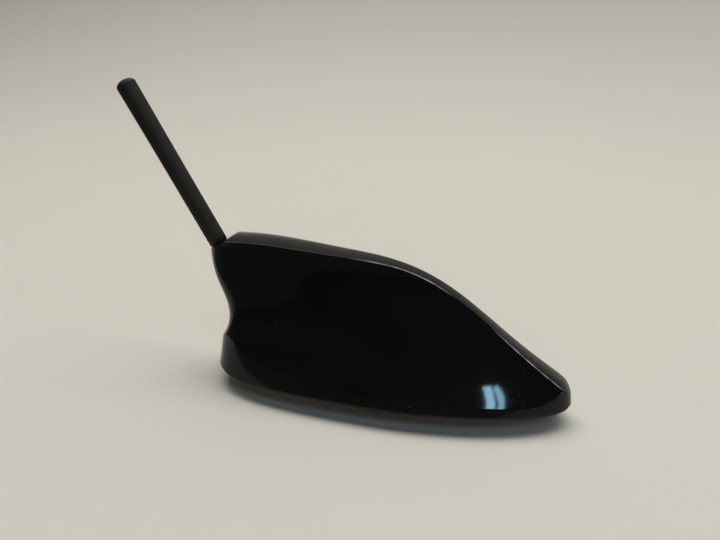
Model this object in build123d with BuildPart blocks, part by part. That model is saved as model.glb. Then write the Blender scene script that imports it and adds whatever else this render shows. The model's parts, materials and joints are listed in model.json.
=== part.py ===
"""A roof aerial for a car: a hollow fin with a short raked rod mast, on a base that is bolted through the roof.

Units are millimetres. +X points to the nose of the fin, +Z up, and Y = 0 is the plane of symmetry. The origin is
at the mouth of the roof bolt's threaded hole, in the middle of the foot's underside.
"""
import os
from math import cos, radians, sin, sqrt

from build123d import *

os.makedirs("parts", exist_ok=True)

# Fin cover
fin_length = 160.0
fin_width = 59.4
fin_height = 58.8
cover_wall = 2.4
skirt_height = 16.0
skirt_lean_side = 4.4
skirt_lean_end = 2.2
outline_middle = 0.5
rear_fullness = 0.76
rear_run = 0.74
nose_fullness = 0.51
nose_run = 0.5
room_step = 1.1
room_drop = 0.8

# Crown of the spine band: its radius, and how far the cut that makes it reaches from the middle
spine_radius = 42.0
spine_reach = 25.0

# Roof side: seal, foot and bolt
seal_thickness = 1.5
seal_setback = 1.0
foot_depth = 8.0
foot_length = 40.0
foot_width = 22.0
foot_corner = 4.0
plate_thickness = 4.0
bolt_radius = 2.5
bolt_depth = 10.0

# Clearances: loose pieces, pieces set into one another, screws in their holes
fit_gap = 0.3
set_gap = 0.05
screw_gap = 0.15

# Cover screws and the posts that they go into
cover_screw_radius = 1.45
cover_screw_length = 9.0
cover_head_radius = 2.7
cover_head_height = 1.9
cover_post_radius = 3.0
rear_screws_x = -0.22 * fin_length
rear_screws_y = 0.285 * fin_width
front_screws_x = 0.225 * fin_length
front_screws_y = 0.265 * fin_width
nose_screw_x = 0.385 * fin_length

# Circuit board, its posts and screws
board_length = 95.0
board_width = 25.0
board_thickness = 1.6
board_corner = 3.0
board_centre_x = -3.5
board_post_height = 4.0
board_post_radius = 2.6
board_screw_inset = 3.5
board_screw_radius = 1.2
board_screw_length = 5.0
board_head_radius = 2.1
board_head_height = 1.5

# Coaxial sockets in the foot
socket_spacing = 24.0
socket_side = 9.0
socket_bore = 3.6
socket_bore_depth = 9.0
socket_corner = 1.0
socket_setback = 0.5
coax_pin_radius = 0.6
coax_pin_reach = 3.6

# Parts on the board
can_length = 24.0
can_width = 20.0
can_height = 4.0
can_sheet = 0.4
can_centre_x = -5.0
patch_side = 18.0
patch_height = 4.0
patch_chamfer = 1.6
patch_centre_x = 26.0
feed_radius = 0.5
feed_offset = 2.5
feed_head_radius = 1.3
feed_head_height = 0.3

# Sheet antenna in the blade and its holder
element_length = 22.0
element_rear_x = -43.0
element_sheet = 0.6
element_top_gap = 6.0
element_flange = 5.0
element_slot = 3.0
holder_wall = 3.0
holder_height = 7.0
holder_floor = 2.0

# Mast
mast_rake = 59.4
mast_length = 81.6
mast_root_radius = 4.15
mast_tip_radius = 4.4
mast_root_chamfer = 0.4
tip_rise = 2.4
tip_round = 1.4
seat_setback = 4.85
seat_level = 0.98 * fin_height
seat_to_axis = 6.1
seat_floor = 3.0
stud_radius = 2.5
stud_chamfer = 0.5
collar_radius = 3.0
collar_length = 10.0
core_radius = 1.5
winding_thickness = 0.6
winding_inset = 2.0
core_end_cover = 8.0
bush_radius = 3.8
bush_length = 9.0
bush_boss_wall = 2.2
strip_width = 4.0
strip_thickness = 0.5
strip_tab = 1.8
strip_foot = 4.0
strip_bend = 1.0

# Where things lie
rear_x = -fin_length / 2
half_width = fin_width / 2
roof_z = foot_depth
edge_z = roof_z + seal_thickness
plate_top_z = edge_z + plate_thickness
board_z = plate_top_z + board_post_height
board_top_z = board_z + board_thickness

# Design slices of the fin, from its edge to above its top. Each row is a height as a percentage of the fin's
# height, then, as percentages of its length, the rear end and the crease of the spine band, and, as percentages of
# its half width, the tail, two pulls that shape the side, and the crease. The lowest rows are wider than the skirt,
# which trims them, and the top rows reach past the spine band, which cuts them off.
FIN_SLICES = (
    (0, -3.8, 98.3, 100, 106, 150, 42),
    (10, -1.6, 97.0, 88, 95, 122, 31),
    (22, 1.5, 92.8, 65, 75.5, 103, 21),
    (39, 2.9, 84.7, 42.5, 47, 87, 15),
    (68, -1.0, 69.7, 33, 27, 42.5, 13.5),
    (104, -3.2, 58.9, 31.5, 18, 28, 13),
)
# Side view of the spine band's middle, as percentages of the fin's length and height
SPINE_LINE = (
    (-6.2, 96.6),
    (12.5, 100.7),
    (34.4, 96.8),
    (53.9, 90.1),
    (60.6, 83.7),
    (73.4, 62.8),
    (86.7, 35.2),
    (93.0, 23.4),
    (96.6, 16.8),
    (99.0, 10.9),
    (100.2, 2.6),
    (100.6, -3.4),
)
tail_share = 6.25
nose_share = 2.75
side_pull = 0.4
round_pull = 0.55
tail_ease = 0.11
nose_ease = 0.045


def slice_side(design_row, inset, mode=Mode.ADD):
    """One side of the fin's outline at a design slice, drawn in by inset: round tail, long side and round nose."""
    rear, crease_at = [rear_x + fin_length * share / 100 for share in design_row[1:3]]
    tail, low_pull, high_pull, crease = [half_width * share / 100 - inset for share in design_row[3:]]
    start = Vector(rear + inset, 0)
    shoulder = Vector(rear + fin_length * tail_share / 100, tail)
    corner = Vector(crease_at, crease)
    end = Vector(crease_at + fin_length * nose_share / 100 - inset, 0)
    reach = side_pull * (corner.X - shoulder.X)
    leave = Vector(shoulder.X + reach, low_pull)
    arrive = Vector(corner.X - reach, high_pull)
    tail_end = shoulder - (leave - shoulder) * tail_ease
    nose_start = corner + (corner - arrive) * nose_ease
    return (
        Bezier(start, start + Vector(0, round_pull * tail), tail_end, shoulder, mode=mode),
        Bezier(shoulder, leave, arrive, corner, mode=mode),
        Bezier(corner, nose_start, end + Vector(0, round_pull * crease), end, mode=mode),
    )


def base_side(inset, height=0.0):
    """One side of the skirt's outline at a height above the edge, drawn in by inset."""
    lean = height / skirt_height
    side = half_width - inset - lean * skirt_lean_side
    rear = rear_x + inset + lean * skirt_lean_end
    nose = -rear_x - inset - lean * skirt_lean_end
    middle = rear_x + outline_middle * fin_length
    Bezier((rear, 0), (rear, rear_fullness * side), (middle + rear_run * (rear - middle), side), (middle, side))
    Bezier((middle, side), (middle + nose_run * (nose - middle), side), (nose, nose_fullness * side), (nose, 0))


def skirt_band(inset, low, high):
    """The solid inside the skirt's leaning walls, between two heights above the edge."""
    with BuildPart() as band:
        for level in (low, high):
            with BuildSketch(Plane.XY.offset(edge_z + level)):
                with BuildLine() as outline:
                    base_side(inset, level)
                    mirror(outline.edges(), about=Plane.XZ)
                make_face()
        loft(ruled=True)
    return band.part


def mast_plane(depth):
    """Plane across the mast at a depth below its seat, with the mast's axis as its normal."""
    return Plane(mast_foot - mast_along * depth, x_dir=mast_across, z_dir=mast_along)


def skirt_room(inset):
    """The space inside the skirt's leaning walls, open upwards."""
    band = skirt_band(inset, 0.0, skirt_height)
    with BuildPart() as room:
        add(band)
        with BuildSketch(Plane.XY.offset(edge_z + skirt_height)):
            Rectangle(2 * fin_length, 2 * fin_width)
        extrude(amount=2 * fin_height)
    return room.part


def spine_points(drop):
    """Side view of the spine band's middle, as x and z, lowered by drop."""
    return [(rear_x + fin_length * along / 100, edge_z - drop + fin_height * up / 100) for along, up in SPINE_LINE]


def fin_form():
    """The fin as a solid: stacked slices, trimmed by the skirt, the spine band and the mast seat."""
    sag = spine_radius - sqrt(spine_radius**2 - spine_reach**2)
    trim = skirt_room(0.0)
    with BuildPart() as form:
        for design_row in FIN_SLICES:
            with BuildSketch(Plane.XY.offset(edge_z + fin_height * design_row[0] / 100)):
                with BuildLine() as outline:
                    slice_side(design_row, 0.0)
                    mirror(outline.edges(), about=Plane.XZ)
                make_face()
        loft()
        add(trim, mode=Mode.INTERSECT)
        with BuildLine(Plane.XZ):
            spine = Spline(spine_points(0.0))
        with BuildSketch(Plane(spine @ 0, x_dir=(0, 1, 0), z_dir=spine % 0)):
            with BuildLine():
                ThreePointArc((-spine_reach, -sag), (0, 0), (spine_reach, -sag))
                Polyline((spine_reach, -sag), (spine_reach, spine_reach), (-spine_reach, spine_reach),
                         (-spine_reach, -sag))
            make_face()
        sweep(path=spine, mode=Mode.SUBTRACT)
        split(bisect_by=mast_plane(0), keep=Keep.BOTTOM)
    return form.part


def room_form(inset):
    """The room inside the fin's walls, in flat steps: straight lines run between points of the slices and the spine.

    The hollow flanks bring such lines nearer to the outside, so the slices are drawn in by a step more.
    """
    trim = skirt_room(inset)
    with BuildPart() as room:
        for design_row in FIN_SLICES[:1] + FIN_SLICES[2:]:
            with BuildSketch(Plane.XY.offset(edge_z + fin_height * design_row[0] / 100)):
                with BuildLine() as outline:
                    tail, side, nose = slice_side(design_row, inset + room_step, Mode.PRIVATE)
                    Polyline(tail @ 0, tail @ 0.5, side @ 0, side @ 0.3, side @ 0.6, nose @ 0, nose @ 1)
                    mirror(outline.edges(), about=Plane.XZ)
                make_face()
        loft(ruled=True)
        add(trim, mode=Mode.INTERSECT)
        with BuildSketch(Plane.XZ):
            with BuildLine():
                roof = Polyline(*spine_points(inset + room_drop))
                Polyline(roof @ 1, (rear_x - fin_length, edge_z - fin_height), roof @ 0)
            make_face()
        extrude(amount=fin_width, both=True, mode=Mode.INTERSECT)
        split(bisect_by=mast_plane(inset), keep=Keep.BOTTOM)
    return room.part


# The mast leans back from the seat, which is square to it and starts at the rear end of the spine band
mast_along = Vector(-cos(radians(mast_rake)), 0, sin(radians(mast_rake)))
mast_across = Vector(sin(radians(mast_rake)), 0, cos(radians(mast_rake)))
seat_front = Vector(rear_x + seat_setback, 0, edge_z + seat_level)
mast_foot = seat_front - mast_across * seat_to_axis
mast_axis = Axis(mast_foot, mast_along)
mast_side = Plane(mast_foot, x_dir=mast_across, z_dir=(0, -1, 0))
bush_end = seat_floor + bush_length
head_seat_z = edge_z + cover_head_height + fit_gap

screw_spots = [
    (rear_screws_x, -rear_screws_y),
    (rear_screws_x, rear_screws_y),
    (front_screws_x, -front_screws_y),
    (front_screws_x, front_screws_y),
    (nose_screw_x, 0),
]
board_spots = GridLocations(board_length - 2 * board_screw_inset, board_width - 2 * board_screw_inset, 2, 2)
socket_spots = [(-socket_spacing / 2, 0), (socket_spacing / 2, 0)]

outer_form = fin_form()
inner_form = room_form(cover_wall)
wall_middle = room_form(cover_wall / 2)

# Solid parts inside the cover, which end within its wall: the boss for the mast's bush and the screws' posts
with BuildPart() as cover_bosses:
    with BuildSketch(mast_plane(0)):
        Circle(bush_radius + bush_boss_wall)
    extrude(amount=-bush_end)
    with BuildSketch(Plane.XY.offset(plate_top_z)):
        with Locations(*screw_spots):
            Circle(cover_post_radius)
    extrude(amount=fin_height)
    add(wall_middle, mode=Mode.INTERSECT)

with BuildPart() as fin_cover:
    add(outer_form)
    add(inner_form, mode=Mode.SUBTRACT)
    add(cover_bosses.part)
    with BuildSketch(Plane.XY.offset(plate_top_z)):
        with Locations(*screw_spots):
            Circle(cover_screw_radius + set_gap)
    extrude(amount=cover_screw_length, mode=Mode.SUBTRACT)
    with BuildSketch(mast_plane(0)):
        Circle(stud_radius + screw_gap)
    extrude(amount=-bush_end, mode=Mode.SUBTRACT)
    with BuildSketch(mast_plane(seat_floor)):
        Circle(bush_radius + set_gap)
    extrude(amount=-bush_length, mode=Mode.SUBTRACT)
fin_cover.part.label = "fin_cover"
export_step(fin_cover.part, "parts/fin_cover.step")

# Flat rubber seal between the base and the roof
seal_form = skirt_band(seal_setback, -seal_thickness, 0.0)
with BuildPart() as roof_seal:
    add(seal_form)
    with BuildSketch(Plane.XY.offset(roof_z)):
        RectangleRounded(foot_length + 2 * fit_gap, foot_width + 2 * fit_gap, foot_corner + fit_gap)
    extrude(amount=seal_thickness, mode=Mode.SUBTRACT)
roof_seal.part.label = "roof_seal"
export_step(roof_seal.part, "parts/roof_seal.step")

# Cast base plate with the foot that passes through the roof, the posts for the board and the holes for the screws
plate_room = room_form(cover_wall + fit_gap)
plate_outline = section(plate_room, section_by=Plane.XY.offset(plate_top_z), mode=Mode.PRIVATE)
with BuildPart() as base_plate:
    extrude(plate_outline, amount=plate_thickness, dir=(0, 0, -1))
    with BuildSketch():
        RectangleRounded(foot_length, foot_width, foot_corner)
    extrude(amount=plate_top_z)
    with BuildSketch(Plane.XY.offset(plate_top_z)):
        with Locations((board_centre_x, 0)):
            with board_spots:
                Circle(board_post_radius)
    extrude(amount=board_post_height)
    with BuildSketch(Plane.XY.offset(board_z)):
        with Locations((board_centre_x, 0)):
            with board_spots:
                Circle(board_screw_radius + set_gap)
    extrude(amount=-board_screw_length, mode=Mode.SUBTRACT)
    with BuildSketch():
        with Locations(*socket_spots):
            Rectangle(socket_side + 2 * fit_gap, socket_side + 2 * fit_gap)
    extrude(amount=plate_top_z, mode=Mode.SUBTRACT)
    with BuildSketch():
        Circle(bolt_radius)
    extrude(amount=bolt_depth, mode=Mode.SUBTRACT)
    with Locations(Plane.XY.offset(edge_z)):
        with Locations(*[(x, -y) for x, y in screw_spots]):
            CounterBoreHole(cover_screw_radius + screw_gap, cover_head_radius + fit_gap,
                            cover_head_height + fit_gap, 2 * plate_thickness)
base_plate.part.label = "base_plate"
export_step(base_plate.part, "parts/base_plate.step")

# Circuit board on the posts, with holes for its screws and for the pins that come up through it
with BuildPart() as circuit_board:
    with BuildSketch(Plane.XY.offset(board_z)):
        with Locations((board_centre_x, 0)):
            RectangleRounded(board_length, board_width, board_corner)
            with board_spots:
                Circle(board_screw_radius + screw_gap, mode=Mode.SUBTRACT)
        with Locations(*socket_spots):
            Circle(coax_pin_radius + screw_gap, mode=Mode.SUBTRACT)
        with Locations((patch_centre_x, feed_offset)):
            Circle(feed_radius + screw_gap, mode=Mode.SUBTRACT)
    extrude(amount=board_thickness)
circuit_board.part.label = "circuit_board"
export_step(circuit_board.part, "parts/circuit_board.step")

with BuildPart() as board_screws:
    with BuildSketch(Plane.XY.offset(board_top_z)):
        with Locations((board_centre_x, 0)):
            with board_spots:
                Circle(board_head_radius)
    extrude(amount=board_head_height)
    with BuildSketch(Plane.XY.offset(board_top_z)):
        with Locations((board_centre_x, 0)):
            with board_spots:
                Circle(board_screw_radius)
    extrude(amount=-board_screw_length)
board_screws.part.label = "board_screws"
export_step(board_screws.part, "parts/board_screws.step")

with BuildPart() as cover_screws:
    with BuildSketch(Plane.XY.offset(head_seat_z)):
        with Locations(*screw_spots):
            Circle(cover_head_radius)
    extrude(amount=-cover_head_height)
    with BuildSketch(Plane.XY.offset(head_seat_z)):
        with Locations(*screw_spots):
            Circle(cover_screw_radius)
    extrude(amount=plate_top_z - head_seat_z + cover_screw_length - fit_gap)
cover_screws.part.label = "cover_screws"
export_step(cover_screws.part, "parts/cover_screws.step")

# Two coaxial sockets hang from the board into the foot, each a square block with a round bore that opens downwards
for socket_name, socket_x in (("rear", -socket_spacing / 2), ("front", socket_spacing / 2)):
    with BuildPart() as coax_socket:
        with BuildSketch(Plane.XY.offset(socket_setback)):
            with Locations((socket_x, 0)):
                RectangleRounded(socket_side, socket_side, socket_corner)
        extrude(amount=board_z - socket_setback)
        with BuildSketch(Plane.XY.offset(socket_setback)):
            with Locations((socket_x, 0)):
                Circle(socket_bore)
        extrude(amount=socket_bore_depth, mode=Mode.SUBTRACT)
        with BuildSketch(Plane.XY.offset(socket_setback)):
            with Locations((socket_x, 0)):
                Circle(coax_pin_radius + set_gap)
        extrude(amount=board_z, mode=Mode.SUBTRACT)
    coax_socket.part.label = "coax_socket_" + socket_name
    export_step(coax_socket.part, "parts/coax_socket_" + socket_name + ".step")
    with BuildPart() as coax_pin:
        with BuildSketch(Plane.XY.offset(socket_setback + socket_bore_depth - coax_pin_reach)):
            with Locations((socket_x, 0)):
                Circle(coax_pin_radius)
        extrude(amount=board_top_z + coax_pin_radius - socket_setback - socket_bore_depth + coax_pin_reach)
        chamfer(coax_pin.edges().sort_by(Axis.Z)[0], coax_pin_radius / 3)
    coax_pin.part.label = "coax_pin_" + socket_name
    export_step(coax_pin.part, "parts/coax_pin_" + socket_name + ".step")

# Shield can over the receiver's part of the board
with BuildPart() as shield_can:
    with BuildSketch(Plane.XY.offset(board_top_z)):
        with Locations((can_centre_x, 0)):
            RectangleRounded(can_length, can_width, 3 * can_sheet)
    extrude(amount=can_height)
    with BuildSketch(Plane.XY.offset(board_top_z)):
        with Locations((can_centre_x, 0)):
            RectangleRounded(can_length - 2 * can_sheet, can_width - 2 * can_sheet, 2 * can_sheet)
    extrude(amount=can_height - can_sheet, mode=Mode.SUBTRACT)
shield_can.part.label = "shield_can"
export_step(shield_can.part, "parts/shield_can.step")

# Ceramic satellite antenna: a square tile with two trimmed corners, and the pin that feeds it from the board
with BuildPart() as patch_antenna:
    with BuildSketch(Plane.XY.offset(board_top_z)):
        with Locations((patch_centre_x, 0)):
            Rectangle(patch_side, patch_side)
    extrude(amount=patch_height)
    corners = patch_antenna.edges().filter_by(Axis.Z).sort_by(Axis((0, 0, 0), (1, 1, 0)))
    chamfer([corners[0], corners[-1]], patch_chamfer)
    with BuildSketch(Plane.XY.offset(board_top_z)):
        with Locations((patch_centre_x, feed_offset)):
            Circle(feed_radius + screw_gap)
    extrude(amount=patch_height, mode=Mode.SUBTRACT)
patch_antenna.part.label = "patch_antenna"
export_step(patch_antenna.part, "parts/patch_antenna.step")

with BuildPart() as patch_feed_pin:
    with BuildSketch(Plane.XY.offset(board_z - feed_radius)):
        with Locations((patch_centre_x, feed_offset)):
            Circle(feed_radius)
    extrude(amount=board_thickness + patch_height + feed_radius)
    with BuildSketch(Plane.XY.offset(board_top_z + patch_height)):
        with Locations((patch_centre_x, feed_offset)):
            Circle(feed_head_radius)
    extrude(amount=feed_head_height)
patch_feed_pin.part.label = "patch_feed_pin"
export_step(patch_feed_pin.part, "parts/patch_feed_pin.step")

# Sheet antenna that stands in the blade: an upright with two slots from its ends, and a flange along its top
element_foot_z = board_top_z + holder_floor
element_top_z = edge_z + fin_height - element_top_gap
element_middle_x = element_rear_x + element_length / 2
slot_pitch = (element_top_z - board_top_z - holder_height) / 3
with BuildPart() as fin_element:
    with BuildSketch(Plane.XZ):
        with Locations((element_middle_x, (element_foot_z + element_top_z) / 2)):
            Rectangle(element_length, element_top_z - element_foot_z)
        with Locations((element_rear_x, element_top_z - slot_pitch)):
            Rectangle(1.5 * element_length, element_slot, mode=Mode.SUBTRACT)
        with Locations((element_rear_x + element_length, element_top_z - 2 * slot_pitch)):
            Rectangle(1.5 * element_length, element_slot, mode=Mode.SUBTRACT)
    extrude(amount=element_sheet / 2, both=True)
    with BuildSketch(Plane.XY.offset(element_top_z)):
        with Locations((element_middle_x, 0)):
            Rectangle(element_length, element_flange)
    extrude(amount=-element_sheet)
fin_element.part.label = "fin_element"
export_step(fin_element.part, "parts/fin_element.step")

with BuildPart() as element_holder:
    with BuildSketch(Plane.XY.offset(board_top_z)):
        with Locations((element_middle_x, 0)):
            RectangleRounded(element_length + 2 * (set_gap + holder_wall), element_sheet + 2 * (set_gap + holder_wall),
                             holder_wall / 2)
    extrude(amount=holder_height)
    with BuildSketch(Plane.XY.offset(element_foot_z)):
        with Locations((element_middle_x, 0)):
            Rectangle(element_length + 2 * set_gap, element_sheet + 2 * set_gap)
    extrude(amount=holder_height, mode=Mode.SUBTRACT)
element_holder.part.label = "element_holder"
export_step(element_holder.part, "parts/element_holder.step")

# Mast: every piece is turned about the mast's axis, drawn as half a section with the seat at height 0
core_end = mast_length - core_end_cover
mast_rim = (mast_tip_radius, mast_length - tip_rise)
winding_start = collar_length + winding_inset
winding_end = core_end - winding_inset
with BuildPart() as mast_stud:
    with BuildSketch(mast_side):
        with BuildLine():
            Polyline((0, -bush_end + stud_chamfer), (stud_radius - stud_chamfer, -bush_end + stud_chamfer),
                     (stud_radius, -bush_end + 2 * stud_chamfer), (stud_radius, 0), (collar_radius, 0),
                     (collar_radius, collar_length), (0, collar_length), (0, -bush_end + stud_chamfer))
        make_face()
    revolve(axis=mast_axis)
mast_stud.part.label = "mast_stud"
export_step(mast_stud.part, "parts/mast_stud.step")

with BuildPart() as mast_core:
    with BuildSketch(mast_plane(-collar_length)):
        Circle(core_radius)
    extrude(amount=core_end - collar_length)
mast_core.part.label = "mast_core"
export_step(mast_core.part, "parts/mast_core.step")

with BuildPart() as mast_winding:
    with BuildSketch(mast_plane(-winding_start)):
        Circle(core_radius + set_gap + winding_thickness)
        Circle(core_radius + set_gap, mode=Mode.SUBTRACT)
    extrude(amount=winding_end - winding_start)
mast_winding.part.label = "mast_winding"
export_step(mast_winding.part, "parts/mast_winding.step")

with BuildPart() as mast_sheath:
    with BuildSketch(mast_side) as mast_half:
        with BuildLine():
            root = Polyline((0, 0), (mast_root_radius - mast_root_chamfer, 0), (mast_root_radius, mast_root_chamfer))
            side = Bezier(root @ 1, (mast_root_radius, mast_length / 2), (mast_tip_radius, mast_length - tip_rise))
            tip = ThreePointArc(side @ 1, (0, mast_length), (-mast_tip_radius, mast_length - tip_rise), mode=Mode.PRIVATE)
            dome = RadiusArc(side @ 1, (0, mast_length), -tip.radius)
            Line(dome @ 1, (0, 0))
        make_face()
        fillet(mast_half.vertices().sort_by_distance(mast_rim)[0], tip_round)
    revolve(axis=mast_axis)
    with BuildSketch(mast_plane(0)):
        Circle(collar_radius + set_gap)
    extrude(amount=collar_length + set_gap, mode=Mode.SUBTRACT)
    with BuildSketch(mast_plane(-collar_length)):
        Circle(core_radius + winding_thickness + 2 * set_gap)
    extrude(amount=core_end - collar_length + set_gap, mode=Mode.SUBTRACT)
mast_sheath.part.label = "mast_sheath"
export_step(mast_sheath.part, "parts/mast_sheath.step")

# Brass bush in the boss, and the spring strip from its end face down to the rear of the board
with BuildPart() as mast_socket:
    with BuildSketch(mast_plane(seat_floor)):
        Circle(bush_radius)
        Circle(stud_radius + screw_gap, mode=Mode.SUBTRACT)
    extrude(amount=-bush_length)
mast_socket.part.label = "mast_socket"
export_step(mast_socket.part, "parts/mast_socket.step")

strip_front_x = element_rear_x - set_gap - holder_wall - fit_gap
strip_top = mast_foot - mast_along * bush_end
strip_rear = strip_top - mast_across * bush_radius
strip_turn = strip_top + mast_across * (bush_radius + strip_tab)
with BuildPart() as mast_contact:
    with BuildSketch(Plane.XZ):
        with BuildLine():
            FilletPolyline((strip_rear.X, strip_rear.Z), (strip_turn.X, strip_turn.Z),
                           (strip_front_x - strip_foot, board_top_z + strip_thickness),
                           (strip_front_x, board_top_z + strip_thickness), radius=strip_bend)
            offset(amount=strip_thickness, side=Side.RIGHT)
        make_face()
    extrude(amount=strip_width / 2, both=True)
mast_contact.part.label = "mast_contact"
export_step(mast_contact.part, "parts/mast_contact.step")
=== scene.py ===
# %% [markdown]
# # A fin aerial for a car roof
# The real thing is a hollow black moulding, polished in the tool until it shines like lacquer, with a
# short rubber rod screwed into its tail. Nearly everything that the eye reads here is a reflection, so
# the lesson is about smooth surfaces, the light that they mirror, and the small marks that moulding
# leaves behind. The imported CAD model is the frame: every piece below sits in its coordinates, in metres.

# %% Load the frame
import json
from math import cos, radians, sin

import bmesh
import bpy
from bmesh.types import BMEdge, BMVert
from mathutils import Matrix, Quaternion, Vector
from mathutils.bvhtree import BVHTree
from mathutils.geometry import barycentric_transform, interpolate_bezier


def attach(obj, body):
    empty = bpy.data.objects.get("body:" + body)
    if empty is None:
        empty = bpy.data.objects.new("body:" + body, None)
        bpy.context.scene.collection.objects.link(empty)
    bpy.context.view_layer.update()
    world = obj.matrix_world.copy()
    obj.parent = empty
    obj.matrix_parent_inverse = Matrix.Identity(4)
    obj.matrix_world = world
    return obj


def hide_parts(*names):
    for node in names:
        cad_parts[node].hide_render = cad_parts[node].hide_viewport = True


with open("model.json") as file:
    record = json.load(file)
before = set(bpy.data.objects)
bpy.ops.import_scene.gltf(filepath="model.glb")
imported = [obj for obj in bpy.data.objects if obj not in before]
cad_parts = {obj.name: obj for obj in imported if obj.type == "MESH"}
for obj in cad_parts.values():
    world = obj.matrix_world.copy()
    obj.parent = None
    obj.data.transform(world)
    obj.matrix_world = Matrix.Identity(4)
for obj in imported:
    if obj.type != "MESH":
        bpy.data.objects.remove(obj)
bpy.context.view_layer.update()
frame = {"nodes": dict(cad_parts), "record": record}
nodes = frame["nodes"]
MM = 0.001
print("nodes:", ", ".join(sorted(nodes)))

# %% [markdown]
# ## The camera
# The photograph was taken from the fin's right side, a little ahead of its middle and from above, with a
# lens about as wide as a phone's. A camera is easiest to place by three turns: yaw about the upright,
# pitch down to the fin, and the slight roll of a hand-held picture.

# %% Camera
EYE = Vector((61.6, -273.6, 164.6)) * MM
YAW, PITCH, ROLL = radians(15.42), radians(20.51), radians(0.95)
FOCAL_MM, SENSOR_MM = 35.0, 36.0


def show(name, data):
    """A new object for a mesh, a lamp or a camera, linked to the scene."""
    item = bpy.data.objects.new(name, data)
    bpy.context.scene.collection.objects.link(item)
    return item


camera_data = bpy.data.cameras.new("camera")
camera_data.lens = FOCAL_MM
camera_data.sensor_width = SENSOR_MM
camera = show("camera", camera_data)
pitch_down = Matrix.Rotation(radians(90) - PITCH, 4, "X")
turn = Matrix.Rotation(YAW, 4, "Z") @ pitch_down @ Matrix.Rotation(ROLL, 4, "Z")
camera.matrix_world = Matrix.Translation(EYE) @ turn
bpy.context.scene.camera = camera
print("camera at", tuple(round(v, 3) for v in EYE), "lens", FOCAL_MM)

# %% [markdown]
# ## Shader arithmetic
# Node trees written out link by link are hard to read. This small class wraps one output socket, so that
# a mask can be written as `noise * 0.5 + 0.2`, and every operator quietly adds its own Math node. `add`
# makes any other node.


# %% Sockets that can be added and multiplied
class Sock:
    """One output socket of a shader node, which takes part in sums and products."""

    def __init__(self, tree, socket):
        self.tree = tree
        self.socket = socket

    def add(self, kind, output=0, inputs=None, **settings):
        """Adds a node of any kind, sets its properties and inputs, and returns one of its outputs."""
        node = self.tree.nodes.new(kind)
        for name, value in settings.items():
            setattr(node, name, value)
        for name, value in (inputs or {}).items():
            self.join(value, node.inputs[name])
        return Sock(self.tree, node.outputs[output])

    def join(self, value, socket):
        """Links a socket, or sets a plain value, on an input."""
        if isinstance(value, Sock):
            self.tree.links.new(value.socket, socket)
        else:
            socket.default_value = value

    def math(self, operation, first, second):
        """Adds a Math node on two values."""
        return self.add("ShaderNodeMath", operation=operation, inputs={0: first, 1: second})

    def __add__(self, other):
        return self.math("ADD", self, other)

    def __radd__(self, other):
        return self.math("ADD", other, self)

    def __mul__(self, other):
        return self.math("MULTIPLY", self, other)

    def __rmul__(self, other):
        return self.math("MULTIPLY", other, self)


print("socket class ready")

# %% [markdown]
# ## Patterns
# Every finish is built from the same few moves: noise over the piece's own coordinates, a stretch that
# turns a soft value into a clear mask, a mix of two colours, and a bump. As functions they keep each
# recipe short. A Mix node holds sockets for numbers, vectors and colours side by side under the same
# names, so its colour sockets are called by their places.

# %% Helpers for patterns
MIX_FIRST, MIX_SECOND, MIX_RESULT = 6, 7, 2


def new_finish(name):
    """A new material: its principled shader, and the object coordinates to build patterns on."""
    material = bpy.data.materials.new(name)
    material.use_nodes = True
    tree = material.node_tree
    shader = next(node for node in tree.nodes if node.type == "BSDF_PRINCIPLED")
    texture = tree.nodes.new("ShaderNodeTexCoord")
    return material, shader, Sock(tree, texture.outputs["Object"])


def noise(place, scale, detail=2.0):
    """Fractal noise on a place, as a value about 0.5. Scale counts bumps per metre, detail octaves."""
    return place.add("ShaderNodeTexNoise", inputs={"Vector": place, "Scale": scale, "Detail": detail})


def spread(value, low, high):
    """Stretches a value so that low goes to 0 and high to 1, and holds it there beyond."""
    return value.add("ShaderNodeMapRange", inputs={"Value": value, "From Min": low, "From Max": high})


def blend(factor, first, second):
    """Mixes two colours with alpha, each of them plain or a socket."""
    inputs = {"Factor": factor, MIX_FIRST: first, MIX_SECOND: second}
    return factor.add("ShaderNodeMix", MIX_RESULT, inputs, data_type="RGBA")


def tint(value, dark, light):
    """Runs between two plain linear colours."""
    return blend(value, (*dark, 1.0), (*light, 1.0))


def bump(height, strength, distance):
    """A normal that follows a height."""
    inputs = {"Height": height, "Strength": strength, "Distance": distance}
    return height.add("ShaderNodeBump", inputs=inputs)


print("pattern helpers ready")

# %% [markdown]
# ## Marks, and a painted highlight, on the cover
# A polished moulding is real through what isn't perfect. Dust lies on it in specks: the middles of
# Voronoi cells, where a random value of each cell keeps only some of them. Fine scratches run along the
# nose, where fingers and cloths pass most: noise that a Mapping node stretches along the slope. Over two
# stretches the creases of the spine get a painted highlight, a pale hairline in the colour that stands in
# for the shine of their rounded edges. An attribute that the cover's mesh carries on its creases finds
# them.

# %% Dust, scratches and a painted highlight on the creases
# A pair says where a mask is 0 and where it is 1. Pairs of places are in metres, along X or up Z.
DUST_CELLS, DUST_SIZE, DUST_DRAW = 190.0, (0.05, 0.02), (0.70, 0.72)
NOSE_SLOPE = radians(37)
SCRATCH_STRETCH, SCRATCH_DRAW = (25.0, 1500.0, 1500.0), (0.60, 0.68)
SCRATCH_FROM = (0.035, 0.07)
# The painted highlight on the creases: its stretches along X and up Z, and its patches.
BEND_FROM, BEND_UNTIL, BEND_ABOVE = (-0.018, -0.008), (0.028, 0.018), (0.035, 0.040)
NOSE_FROM, NOSE_ABOVE = (0.044, 0.052), (0.0165, 0.021)
HIGHLIGHT_PATCHES, HIGHLIGHT_SPAN, HIGHLIGHT_LEAST = 260.0, (0.35, 0.65), 0.3


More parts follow.
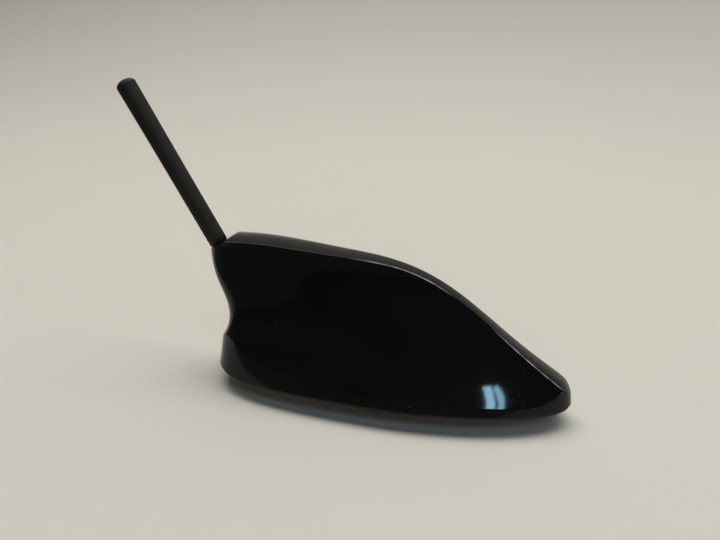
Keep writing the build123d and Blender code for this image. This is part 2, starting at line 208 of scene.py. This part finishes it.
def dust_specks(place):
    """A mask of the middles of some Voronoi cells."""
    cells = {"Vector": place, "Scale": DUST_CELLS}
    to_middle = place.add("ShaderNodeTexVoronoi", "Distance", cells)
    cell_colour = place.add("ShaderNodeTexVoronoi", "Color", cells)
    draw = place.add("ShaderNodeSeparateColor", "Red", {"Color": cell_colour})
    return spread(to_middle, *DUST_SIZE) * spread(draw, *DUST_DRAW)


def nose_scratches(place, reach):
    """A mask of fine lines along the slope of the nose, from a reach along the fin on."""
    along_nose = place.add("ShaderNodeMapping", "Vector", {
        "Vector": place,
        "Rotation": (0, NOSE_SLOPE, 0),
        "Scale": SCRATCH_STRETCH,
    })
    return spread(noise(along_nose, 1.0), *SCRATCH_DRAW) * spread(reach, *SCRATCH_FROM)


def painted_crease_highlight(place, reach, lift):
    """A mask of painted highlight on the creases at the bend of the spine and at the nose, in patches."""
    at_bend = spread(reach, *BEND_FROM) * spread(reach, *BEND_UNTIL) * spread(lift, *BEND_ABOVE)
    at_nose = spread(reach, *NOSE_FROM) * spread(lift, *NOSE_ABOVE)
    edge = place.add("ShaderNodeAttribute", "Fac", attribute_name="edge")
    patchy = spread(noise(place, HIGHLIGHT_PATCHES), *HIGHLIGHT_SPAN)
    return edge * (at_bend + at_nose) * (HIGHLIGHT_LEAST + patchy * (1 - HIGHLIGHT_LEAST))


print("marks ready")

# %% [markdown]
# ## The cover's finish
# Black gloss is almost nothing but its clear reflection, so the colour is near zero and the roughness
# low. Wiping dulls the shine a little in patches, and the moulding's shrinkage leaves a very slight
# waviness, which is a bump of long, shallow waves. The marks and the painted highlight on the creases go
# over both the colour and the roughness.

# %% Gloss black
HAZE_SCALE, HAZE_DETAIL, HAZE_SPAN = 38.0, 3.0, (0.45, 0.75)
BLACK_DARK, BLACK_LIGHT = (0.0022, 0.0021, 0.0021), (0.0036, 0.0035, 0.0035)
# A pale colour for the dust, the scratches and the painted highlight on the creases.
WEAR_AND_HIGHLIGHT_COLOUR = (0.42, 0.415, 0.40, 1.0)
DUST_PALE, SCRATCH_PALE = 0.2, 0.012
POLISH, HAZE_DULL, MARK_DULL, SCRATCH_DULL = 0.045, 0.03, 0.4, 0.06
GLOSS_IOR = 1.3
WAVE_SCALE, WAVE_DETAIL, WAVE_STRENGTH, WAVE_DEPTH = 22.0, 1.0, 0.05, 2 * MM


def cover_gloss():
    material, shader, place = new_finish("cover_gloss")
    reach = place.add("ShaderNodeSeparateXYZ", "X", {"Vector": place})
    lift = place.add("ShaderNodeSeparateXYZ", "Z", {"Vector": place})
    haze = noise(place, HAZE_SCALE, HAZE_DETAIL)
    speck = dust_specks(place)
    scratch = nose_scratches(place, reach)
    # The painted highlight: a pale hairline on two stretches of the spine's creases.
    crease_highlight = painted_crease_highlight(place, reach, lift)
    black = tint(haze, BLACK_DARK, BLACK_LIGHT)
    pale = speck * DUST_PALE + scratch * SCRATCH_PALE + crease_highlight
    place.join(blend(pale, black, WEAR_AND_HIGHLIGHT_COLOUR), shader.inputs["Base Color"])
    dull = (speck + crease_highlight) * MARK_DULL + scratch * SCRATCH_DULL
    place.join(POLISH + spread(haze, *HAZE_SPAN) * HAZE_DULL + dull, shader.inputs["Roughness"])
    shader.inputs["IOR"].default_value = GLOSS_IOR
    waves = noise(place, WAVE_SCALE, WAVE_DETAIL)
    place.join(bump(waves, WAVE_STRENGTH, WAVE_DEPTH), shader.inputs["Normal"])
    return material


finishes = {"cover_gloss": cover_gloss()}
print("gloss:", len(finishes["cover_gloss"].node_tree.nodes), "shader nodes")

# %% [markdown]
# ## The mast's finish
# The rod is rubber moulded over a coil. Its skin is matt with a fine spark-eroded grain, slightly paler
# where hands have rubbed it. One fine noise gives both the grain's bump and its uneven shine, so the two
# agree.

# %% Matt rubber
RUBBER_DARK, RUBBER_LIGHT = (0.0140, 0.0121, 0.0109), (0.0270, 0.0234, 0.0210)
RUBBER_ROUGH, RUBBER_ROUGH_SPAN, RUBBER_SHEEN = 0.55, 0.16, 0.25
RUBBER_CLOUD, RUBBER_CLOUD_DETAIL, RUBBER_GRAIN = 90.0, 3.0, 2600.0
RUBBER_STRENGTH, RUBBER_DEPTH = 0.25, 0.2 * MM


def mast_rubber():
    material, shader, place = new_finish("mast_rubber")
    grain = noise(place, RUBBER_GRAIN)
    cloud = noise(place, RUBBER_CLOUD, RUBBER_CLOUD_DETAIL)
    place.join(tint(cloud, RUBBER_DARK, RUBBER_LIGHT), shader.inputs["Base Color"])
    place.join(RUBBER_ROUGH + grain * RUBBER_ROUGH_SPAN, shader.inputs["Roughness"])
    shader.inputs["Specular IOR Level"].default_value = RUBBER_SHEEN
    place.join(bump(grain, RUBBER_STRENGTH, RUBBER_DEPTH), shader.inputs["Normal"])
    return material


finishes["mast_rubber"] = mast_rubber()
print("rubber:", len(finishes["mast_rubber"].node_tree.nodes), "shader nodes")

# %% [markdown]
# ## Finishes of the pieces inside
# Few of these show once the fin is on a roof, but each has its own: a flat rubber seal, a grey casting, a
# green board, tinned sheet, brass, bare ceramic and plain mouldings. One recipe serves them all: two
# colours mixed by a cloud of noise, a roughness that follows a finer noise, and a grain in the normal.

# %% A recipe for plain finishes
CLOUD_DETAIL, CLOUD_SPAN, ROUGH_SPAN = 3.0, (0.3, 0.7), 0.2
GRAIN_STRENGTH, GRAIN_DEPTH = 0.3, 0.1 * MM
RECIPES = {
    # slot: dark, light, roughness, metal, scale of the cloud, scale of the grain
    "seal_rubber": ((0.012, 0.012, 0.012), (0.022, 0.022, 0.021), 0.72, 0.0, 120.0, 1500.0),
    "cast_metal": ((0.40, 0.41, 0.42), (0.55, 0.56, 0.57), 0.48, 1.0, 200.0, 900.0),
    "board": ((0.010, 0.075, 0.030), (0.014, 0.100, 0.042), 0.38, 0.0, 300.0, 1500.0),
    "screw_steel": ((0.42, 0.42, 0.43), (0.56, 0.56, 0.57), 0.34, 1.0, 600.0, 1500.0),
    "socket_plastic": ((0.014, 0.014, 0.016), (0.024, 0.024, 0.027), 0.46, 0.0, 120.0, 1500.0),
    "brass": ((0.50, 0.33, 0.10), (0.66, 0.46, 0.18), 0.30, 1.0, 500.0, 1500.0),
    "tinned_sheet": ((0.50, 0.50, 0.48), (0.64, 0.64, 0.62), 0.32, 1.0, 250.0, 1500.0),
    "ceramic_tile": ((0.50, 0.44, 0.34), (0.60, 0.54, 0.44), 0.62, 0.0, 400.0, 1500.0),
    "holder_plastic": ((0.56, 0.56, 0.53), (0.66, 0.66, 0.63), 0.50, 0.0, 120.0, 1500.0),
    "core_rod": ((0.46, 0.43, 0.28), (0.58, 0.55, 0.40), 0.45, 0.0, 300.0, 1500.0),
    "copper_wire": ((0.40, 0.15, 0.06), (0.55, 0.24, 0.11), 0.36, 1.0, 900.0, 1500.0),
    "spring_strip": ((0.48, 0.33, 0.16), (0.60, 0.44, 0.24), 0.28, 1.0, 500.0, 1500.0),
}


def plain_finish(name, dark, light, rough, metal, cloud_scale, grain_scale):
    """A material by the plain recipe."""
    material, shader, place = new_finish(name)
    cloud = noise(place, cloud_scale, CLOUD_DETAIL)
    grain = noise(place, grain_scale)
    place.join(tint(spread(cloud, *CLOUD_SPAN), dark, light), shader.inputs["Base Color"])
    place.join(grain * ROUGH_SPAN + (rough - ROUGH_SPAN / 2), shader.inputs["Roughness"])
    shader.inputs["Metallic"].default_value = metal
    place.join(bump(grain, GRAIN_STRENGTH, GRAIN_DEPTH), shader.inputs["Normal"])
    return material


for name, recipe in RECIPES.items():
    finishes[name] = plain_finish(name, *recipe)
slot_of = {part["node"]: part["material_slot"] for part in frame["record"]["subparts"]}
for name, node in nodes.items():
    node.data.materials.clear()
    node.data.materials.append(finishes[slot_of[name]])
print("finishes:", len(finishes), "on", len(nodes), "nodes")

# %% [markdown]
# ## The cover's creases
# The CAD cover has knife edges where its faces meet. A mould can't make those, and a mirror finish shows
# it: every real edge here carries a hairline of light. The piece starts as a copy of the CAD mesh. Its
# triangles are loose at the borders of the CAD faces, so each border is marked as a seam before the
# points are merged. A border counts as a crease where it stands out sharply between two faces with
# nothing in front of them, which leaves out the holes and the inside. The lower edge is left out too: the
# mould parts there, so it is crisp.

# %% Find the creases
CREASE_ROUND, SEAT_ROUND = 0.4 * MM, 0.9 * MM
CREASE_ANGLE = radians(9)
LOWER_EDGE = 10 * MM
MERGE_REACH = 0.001 * MM

shell = bmesh.new()
shell.from_mesh(nodes["fin_cover"].data)
weight = shell.edges.layers.float.new("bevel_weight_edge")
for edge in shell.edges:
    edge.seam = edge.is_boundary
bmesh.ops.remove_doubles(shell, verts=shell.verts, dist=MERGE_REACH)


def outer_creases():
    """The sharp, standing borders between two faces that look out of the part."""
    shell.normal_update()
    surface = BVHTree.FromBMesh(shell)

    def looks_out(face):
        start = face.calc_center_median() + face.normal * CREASE_ROUND
        return surface.ray_cast(start, face.normal)[0] is None

    borders = [edge for edge in shell.edges if edge.seam]
    sharp = [edge for edge in borders if edge.calc_face_angle_signed(0.0) > CREASE_ANGLE]
    above = [edge for edge in sharp if max(vert.co.z for vert in edge.verts) > LOWER_EDGE]
    return [edge for edge in above if all(looks_out(face) for face in edge.link_faces)]


creases = outer_creases()
print("creases:", len(creases), "of", len(shell.edges), "edges")

# %% [markdown]
# ## Room for the rounding
# A bevel needs room on both sides, so points that lie very near a crease are first folded into it. A
# Bevel modifier can read a weight on each edge, and here it sets the size: the rim of the mast's seat,
# which is square to the mast, is rounded more than the long creases.

# %% Fold near points in and weigh the creases
FOLD_REACH = 0.8 * MM
RAKE = radians(59.4)
along = Vector((-cos(RAKE), 0, sin(RAKE)))

on_crease = {vert for edge in creases for vert in edge.verts}
on_border = {vert for edge in shell.edges if edge.seam for vert in edge.verts}
folds = {}
for vert in shell.verts:
    near = [edge for edge in vert.link_edges if edge.calc_length() < FOLD_REACH]
    ways = [edge for edge in near if edge.other_vert(vert) in on_crease]
    if ways and vert not in on_border:
        folds[vert] = min(ways, key=lambda edge: edge.calc_length()).other_vert(vert)
bmesh.ops.weld_verts(shell, targetmap=folds)

for edge in outer_creases():
    on_seat = any(face.normal.dot(along) > cos(CREASE_ANGLE) for face in edge.link_faces)
    edge[weight] = 1.0 if on_seat else CREASE_ROUND / SEAT_ROUND
for edge in shell.edges:
    edge.seam = False
print("points folded in:", len(folds))

# %% [markdown]
# ## Rounded creases
# The modifier does what the bevel operator can't: it takes those weights. It also gives its strips a
# material slot of their own, which tells them apart in the next steps. The result is taken as a plain
# mesh, so that nothing is left to be worked out later.

# %% Round the creases
PLAIN, STRIP = 0, 1
ROUND_STEPS = 3


def settle(form, name):
    """Turns a bmesh into a mesh and frees it."""
    mesh = bpy.data.meshes.new(name)
    form.to_mesh(mesh)
    form.free()
    return mesh


sharp_mesh = settle(shell, "cover_sharp")
for _ in (PLAIN, STRIP):
    sharp_mesh.materials.append(finishes["cover_gloss"])
cover = show("cover", sharp_mesh)
rounding = cover.modifiers.new("rounding", "BEVEL")
rounding.limit_method = "WEIGHT"
rounding.width = SEAT_ROUND
rounding.segments = ROUND_STEPS
rounding.profile = 0.5
rounding.use_clamp_overlap = False
rounding.material = STRIP
bpy.context.view_layer.update()
rounded = cover.evaluated_get(bpy.context.evaluated_depsgraph_get())
cover_mesh = bpy.data.meshes.new_from_object(rounded)
cover.modifiers.remove(rounding)
cover.data = cover_mesh
bpy.data.meshes.remove(sharp_mesh)
print("cover:", len(cover_mesh.polygons), "faces")

# %% [markdown]
# ## Slivers
# Where creases meet, a bevel can fold thin slivers back over their neighbours. They show as two triangles
# that face opposite ways. The shortest side of the smaller one is closed up, again and again, until none
# is left. A face that is left hanging by one side is taken off.

# %% Iron out the slivers
SLIVER_ANGLE = radians(140)
IRON_ROUNDS = 40

ironed = bmesh.new()
ironed.from_mesh(cover_mesh)
bmesh.ops.triangulate(ironed, faces=ironed.faces)
for rounds in range(IRON_ROUNDS):
    bmesh.ops.dissolve_degenerate(ironed, dist=MERGE_REACH, edges=ironed.edges)
    flaps = [face for face in ironed.faces if any(edge.is_boundary for edge in face.edges)]
    bmesh.ops.delete(ironed, geom=flaps, context="FACES")
    ironed.normal_update()
    folded = [edge for edge in ironed.edges if edge.calc_face_angle(0.0) > SLIVER_ANGLE]
    if not folded:
        break
    closing = {}
    busy = set()
    for edge in folded:
        sliver = min(edge.link_faces, key=lambda face: face.calc_area())
        short = min(sliver.edges, key=lambda side: side.calc_length())
        if busy.isdisjoint(short.verts):
            closing[short.verts[0]] = short.verts[1]
            busy.update(short.verts)
    bmesh.ops.weld_verts(ironed, targetmap=closing)
ironed.to_mesh(cover_mesh)
open_edges = sum(len(edge.link_faces) != 2 for edge in ironed.edges)
ironed.free()
print("ironed in", rounds, "rounds, folded edges left:", len(folded), "open edges:", open_edges)

# %% [markdown]
# ## Clean reflections
# A mirror shows every flaw of the normals, and normals averaged over uneven triangles make wavy
# reflections. The CAD mesh brings exact ones, so a point of the rounded copy looks up the nearest CAD
# triangle and blends the normals of its three corners.

# %% Exact normals
cad_mesh = nodes["fin_cover"].data
cad_corners = [corner.vector.copy() for corner in cad_mesh.corner_normals]
cad_points = [vert.co for vert in cad_mesh.vertices]
cad_tree = BVHTree.FromPolygons(cad_points, [face.vertices[:] for face in cad_mesh.polygons])


def cad_normal(point):
    """The exact normal of the CAD cover where it is nearest to a point."""
    spot, _, index, _ = cad_tree.find_nearest(point)
    face = cad_mesh.polygons[index]
    places = [cad_points[i] for i in face.vertices]
    leans = [cad_corners[i] for i in face.loop_indices]
    return barycentric_transform(spot, *places, *leans).normalized()


print("exact normals at", len(cad_corners), "corners of the CAD cover")

# %% [markdown]
# ## Normals for every corner
# Each corner of a plain face asks from a place slightly towards the middle of its face, so that it finds
# the right side of a crease. A strip of the bevel takes the normals of the faces beside it, and turns
# between them. The inner points of the strips also get an attribute, by which the finish finds the
# creases.

# %% Give the cover its normals
TO_MIDDLE = 0.02

corner_normals = [Vector()] * len(cover_mesh.loops)
beside = {}
for face in cover_mesh.polygons:
    if face.material_index == PLAIN:
        for corner, vert in zip(face.loop_indices, face.vertices):
            asked_at = cover_mesh.vertices[vert].co.lerp(face.center, TO_MIDDLE)
            corner_normals[corner] = cad_normal(asked_at)
            beside.setdefault(vert, []).append(corner_normals[corner])
for face in cover_mesh.polygons:
    if face.material_index == STRIP:
        for corner, vert in zip(face.loop_indices, face.vertices):
            choice = beside.get(vert, [cover_mesh.vertices[vert].normal.copy()])
            corner_normals[corner] = max(choice, key=face.normal.dot)
edge_mark = cover_mesh.attributes.new("edge", "FLOAT", "POINT")
for vert in cover_mesh.vertices:
    edge_mark.data[vert.index].value = float(vert.index not in beside)
for face in cover_mesh.polygons:
    face.material_index = PLAIN
cover_mesh.materials.pop(index=STRIP)
cover_mesh.shade_smooth()
cover_mesh.normals_split_custom_set(corner_normals)
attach(cover, "root")
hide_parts("fin_cover")
print("normals:", len(corner_normals), "points on creases:", len(cover_mesh.vertices) - len(beside))

# %% [markdown]
# ## The mast's outline
# A rod is a spun profile, so it starts as half of its outline. This one swells a little towards its end,
# has a small chamfer where it meets the seat, and closes in a shallow dome, a quarter of an ellipse: a
# Bezier curve is one when its handles are 0.55 of its sides.

# %% Outline of the rod
ROOT_RADIUS, TIP_RADIUS, ROD_LENGTH = 4.15 * MM, 4.4 * MM, 81.2 * MM
TIP_RISE, ROOT_CHAMFER = 2.6 * MM, 0.4 * MM
ROUND_HANDLE = 0.55
SIDE_POINTS, DOME_POINTS = 48, 20

root_corner = Vector((ROOT_RADIUS, 0, ROOT_CHAMFER))
waist = Vector((ROOT_RADIUS, 0, ROD_LENGTH / 2))
rim = Vector((TIP_RADIUS, 0, ROD_LENGTH - TIP_RISE))
rim_handle = Vector((TIP_RADIUS, 0, ROD_LENGTH - TIP_RISE * (1 - ROUND_HANDLE)))
crown_handle = Vector((TIP_RADIUS * ROUND_HANDLE, 0, ROD_LENGTH))
crown = Vector((0, 0, ROD_LENGTH))
outline = [Vector((0, 0, 0)), Vector((ROOT_RADIUS - ROOT_CHAMFER, 0, 0))]
outline += interpolate_bezier(root_corner, waist, waist, rim, SIDE_POINTS)
outline += interpolate_bezier(rim, rim_handle, crown_handle, crown, DOME_POINTS)[1:]
print("outline of the rod:", len(outline), "points")

# %% [markdown]
# ## The mast
# The outline is spun about the upright, where a full turn has to merge its last step with its first. The
# mould's gate left a small dimple on one side of the end: a vertex is bevelled into a small face there,
# and that face is inset and pushed in.

# %% Spin the rod and mark its gate
SPIN_STEPS = 72
GATE_DROP, GATE_RADIUS, GATE_DEPTH = 4.6 * MM, 0.3 * MM, 0.2 * MM
GATE_RIM = GATE_RADIUS / 4
GATE_AZIMUTH = radians(-60)

rod = bmesh.new()
points = [rod.verts.new(point) for point in outline]
lines = [rod.edges.new(pair) for pair in zip(points, points[1:])]
bmesh.ops.spin(rod, geom=points + lines, cent=(0, 0, 0), axis=(0, 0, 1), angle=radians(360),
               steps=SPIN_STEPS, use_merge=True)
bmesh.ops.remove_doubles(rod, verts=rod.verts, dist=MERGE_REACH)
bmesh.ops.recalc_face_normals(rod, faces=rod.faces)
gate_way = Vector((cos(GATE_AZIMUTH), sin(GATE_AZIMUTH), 0))
gate_place = gate_way * TIP_RADIUS + Vector((0, 0, ROD_LENGTH - GATE_DROP))
gate_vert = min(rod.verts, key=lambda vert: (vert.co - gate_place).length)
gate = bmesh.ops.bevel(rod, geom=[gate_vert], offset=GATE_RADIUS, offset_type="OFFSET", segments=1,
                       profile=0.5, affect="VERTICES", clamp_overlap=True, material=-1)["faces"]
bmesh.ops.inset_region(rod, faces=gate, thickness=GATE_RIM, depth=-GATE_DEPTH)
print("rod:", len(rod.faces), "faces")

# %% [markdown]
# ## The mast in its seat
# The rod was made upright at the origin, where it is easy to think about. Its place goes into the mesh,
# so the object itself stays unturned, as the CAD pieces are. The seat's place follows from the fin's
# sizes, as in the CAD model.

# %% Stand the rod in its seat
FIN_LENGTH, FIN_HEIGHT, EDGE_HEIGHT = 160 * MM, 58.8 * MM, 9.5 * MM
SEAT_SETBACK, SEAT_LEVEL, SEAT_TO_AXIS = 4.85 * MM, 0.98 * FIN_HEIGHT, 6.1 * MM
ROD_SHARP_ANGLE = radians(50)

across = Vector((sin(RAKE), 0, cos(RAKE)))
seat_front = Vector((SEAT_SETBACK - FIN_LENGTH / 2, 0, EDGE_HEIGHT + SEAT_LEVEL))
rod_foot = seat_front - across * SEAT_TO_AXIS
lean = Matrix((across, Vector((0, 1, 0)), along)).transposed().to_4x4()
bmesh.ops.transform(rod, matrix=Matrix.Translation(rod_foot) @ lean, verts=rod.verts)
rod_mesh = settle(rod, "rod")
rod_mesh.shade_smooth()
rod_mesh.set_sharp_from_angle(angle=ROD_SHARP_ANGLE)
rod_mesh.materials.append(finishes["mast_rubber"])
rod_piece = show("rod", rod_mesh)
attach(rod_piece, "root")
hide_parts("mast_sheath")
print("rod stands at", tuple(round(v, 4) for v in rod_foot))

# %% [markdown]
# ## The sheet
# The aerial stands on a pale sheet that curves up behind it, so no line divides floor and wall. A sweep
# is a line of edges that is extruded and then spun by a quarter. Two cuts end the sheet just outside the
# picture, in front and on the left, so that the flanks don't mirror more of it.

# %% Sheet of floor
SHEET_WIDTH, SHEET_FRONT, SHEET_BACK = 5.0, -0.5, 0.47
SWEEP_RADIUS, SWEEP_STEPS, WALL_HEIGHT = 0.26, 24, 1.6
NEAR_CORNER = Vector((-0.112, -0.138, 0))
FRONT_CUT, LEFT_CUT = radians(15.6), radians(132.2)

sheet = bmesh.new()
front = [sheet.verts.new((side * SHEET_WIDTH / 2, SHEET_FRONT, 0)) for side in (-1, 1)]
front_row = [sheet.edges.new(front)]


def only(kind, items):
    """The items of one kind, points or edges, out of what an operator made."""
    return [item for item in items if isinstance(item, kind)]


def pull(row, shift):
    """Extrudes a row of edges by a shift and returns the new row."""
    made = bmesh.ops.extrude_edge_only(sheet, edges=row)["geom"]
    bmesh.ops.translate(sheet, vec=shift, verts=only(BMVert, made))
    return only(BMEdge, made)


back_row = pull(front_row, (0, SHEET_BACK - SHEET_FRONT, 0))
swept = bmesh.ops.spin(sheet, geom=back_row, cent=(0, SHEET_BACK, SWEEP_RADIUS), axis=(1, 0, 0),
                       angle=radians(90), steps=SWEEP_STEPS)["geom_last"]
pull(only(BMEdge, swept), (0, 0, WALL_HEIGHT))
bmesh.ops.recalc_face_normals(sheet, faces=sheet.faces)
for heading, keep_side in ((FRONT_CUT, 1), (LEFT_CUT, -1)):
    outside = Vector((sin(heading), -cos(heading), 0)) * keep_side
    bmesh.ops.bisect_plane(sheet, geom=sheet.verts[:] + sheet.edges[:] + sheet.faces[:],
                           plane_co=NEAR_CORNER, plane_no=outside, clear_outer=True)
floor_mesh = settle(sheet, "floor")
floor_mesh.shade_smooth()
floor = show("floor", floor_mesh)
print("sheet:", len(floor_mesh.polygons), "faces")

# %% [markdown]
# ## The table
# What lies beyond the sheet is a grey table in a dim room, and that is what makes a black mirror look
# black. Both surfaces are matt, with two close colours in very large clouds, so that neither is quite
# even.

# %% Table and the colours of the stage
TABLE_SIZE, TABLE_DROP = 1.3, 0.6 * MM
STAGE_CLOUD, STAGE_SHEEN = 3.0, 0.2
SHEET_COLOURS, SHEET_ROUGH = ((0.655, 0.63, 0.565), (0.68, 0.655, 0.59)), 0.75
TABLE_COLOURS, TABLE_ROUGH = ((0.17, 0.175, 0.18), (0.20, 0.205, 0.21)), 0.8

board = bmesh.new()
bmesh.ops.create_grid(board, x_segments=1, y_segments=1, size=TABLE_SIZE)
bmesh.ops.translate(board, vec=(0, 0, -TABLE_DROP), verts=board.verts)
table_mesh = settle(board, "table")
table = show("table", table_mesh)


def matt_sheet(name, colours, rough):
    """A matt stage surface between two close colours."""
    material, shader, place = new_finish(name)
    place.join(tint(noise(place, STAGE_CLOUD), *colours), shader.inputs["Base Color"])
    shader.inputs["Roughness"].default_value = rough
    shader.inputs["Specular IOR Level"].default_value = STAGE_SHEEN
    return material


floor_mesh.materials.append(matt_sheet("sheet_finish", SHEET_COLOURS, SHEET_ROUGH))
table_mesh.materials.append(matt_sheet("table_finish", TABLE_COLOURS, TABLE_ROUGH))
print("table:", len(table_mesh.polygons), "face")

# %% [markdown]
# ## Light from above
# One broad soft lamp hangs overhead and lights the sheet. Its glow on the wall behind draws the grey band
# along the spine. An area lamp shines along its own -Z, so it is turned to face a point, and rolled about
# that line.

# %% Overhead lamp
OVERHEAD_PLACE, OVERHEAD_AIM = (-0.05, 0.3, 1.9), (-0.05, 0.3, 0)
OVERHEAD_SIZE, OVERHEAD_WATTS, OVERHEAD_COLOUR = (2.2, 1.1), 36.6, (1.0, 0.982, 0.955)


def soft_lamp(name, spot, aim, size, watts, colour, roll=0.0):
    """A rectangular area lamp at a spot, facing a point and rolled about that line."""
    data = bpy.data.lights.new(name, "AREA")
    data.shape = "RECTANGLE"
    data.size, data.size_y = size
    data.energy = watts
    data.color = colour
    lamp = show(name, data)
    lamp.location = spot
    facing = (Vector(aim) - Vector(spot)).to_track_quat("-Z", "Y")
    lamp.rotation_euler = (facing @ Quaternion((0, 0, 1), roll)).to_euler()
    return lamp


soft_lamp("overhead", OVERHEAD_PLACE, OVERHEAD_AIM, OVERHEAD_SIZE, OVERHEAD_WATTS, OVERHEAD_COLOUR)
print("overhead lamp:", OVERHEAD_WATTS, "W")

# %% [markdown]
# ## The window and the fills
# The room stays dim, apart from one small cool window of two panes, whose image lies near the nose. The
# panes are turned a little, because the flank is curved and leans their image the other way. They only
# show in mirrors. Two softer lamps that mirrors don't see fill the shadow in front: one stands for the
# window's cool light, and a low warm one reaches under the rim.

# %% Window panes and fills
LIT_PLACE = Vector((49.3, -18.6, 16.5)) * MM
LAMP_AWAY = 1.5
PANE_RISE, PANE_HEIGHT, PANE_COLOUR = 45.3, 0.275, (0.40, 0.757, 1.0)
PANES = (
    # name, azimuth, roll, width, watts
    ("left_pane", -54.3, -20, 0.060, 1.75),
    ("right_pane", -50.0, -27, 0.046, 1.10),
)
FILLS = (
    # name, azimuth, elevation, size, watts, colour
    ("window_fill", -58.0, 46.0, (0.35, 0.35), 2.3, (0.52, 0.79, 1.0)),
    ("low_fill", -80.0, 13.0, (0.9, 0.25), 2.6, (1.0, 0.90, 0.80)),
)


def lamp_spot(azimuth, elevation):
    """Where a lamp stands that is seen from the lit place under two angles in degrees."""
    flat = cos(radians(elevation))
    way = Vector((flat * cos(radians(azimuth)), flat * sin(radians(azimuth)), sin(radians(elevation))))
    return LIT_PLACE + way * LAMP_AWAY


for name, azimuth, roll, width, watts in PANES:
    spot = lamp_spot(azimuth, PANE_RISE)
    pane = soft_lamp(name, spot, LIT_PLACE, (width, PANE_HEIGHT), watts, PANE_COLOUR, radians(roll))
    pane.visible_diffuse = False
for name, azimuth, elevation, size, watts, colour in FILLS:
    fill = soft_lamp(name, lamp_spot(azimuth, elevation), LIT_PLACE, size, watts, colour)
    fill.visible_glossy = False

# %% [markdown]
# ## The room
# The world stands for the room: large faint patches, some warmer, some cooler and lighter, so that the
# black flanks mirror something. Its own light on the sheet is kept lower, so that the gap under the rim
# stays dark. A Light Path node tells apart the rays that look at the room and those that gather its
# light.

# %% Dim room
ROOM_WARM, ROOM_COOL = (0.095, 0.080, 0.076), (0.118, 0.134, 0.147)
ROOM_PATCHES, ROOM_DETAIL, ROOM_SPAN = 1.7, 0.0, (0.35, 0.65)
ROOM_LIGHT = 0.2

world = bpy.data.worlds.new("room")
bpy.context.scene.world = world
world.use_nodes = True
room_tree = world.node_tree
room = next(node for node in room_tree.nodes if node.type == "BACKGROUND")
way = Sock(room_tree, room_tree.nodes.new("ShaderNodeTexCoord").outputs["Generated"])
patches = spread(noise(way, ROOM_PATCHES, ROOM_DETAIL), *ROOM_SPAN)
looks = [way.add("ShaderNodeLightPath", kind) for kind in ("Is Glossy Ray", "Is Transmission Ray")]
seen = sum(looks, way.add("ShaderNodeLightPath", "Is Camera Ray"))
way.join(tint(patches, ROOM_WARM, ROOM_COOL), room.inputs["Color"])
way.join(ROOM_LIGHT + seen * (1 - ROOM_LIGHT), room.inputs["Strength"])
bpy.context.scene.view_settings.view_transform = "Standard"
print("room: dim, in faint warm and cool patches")
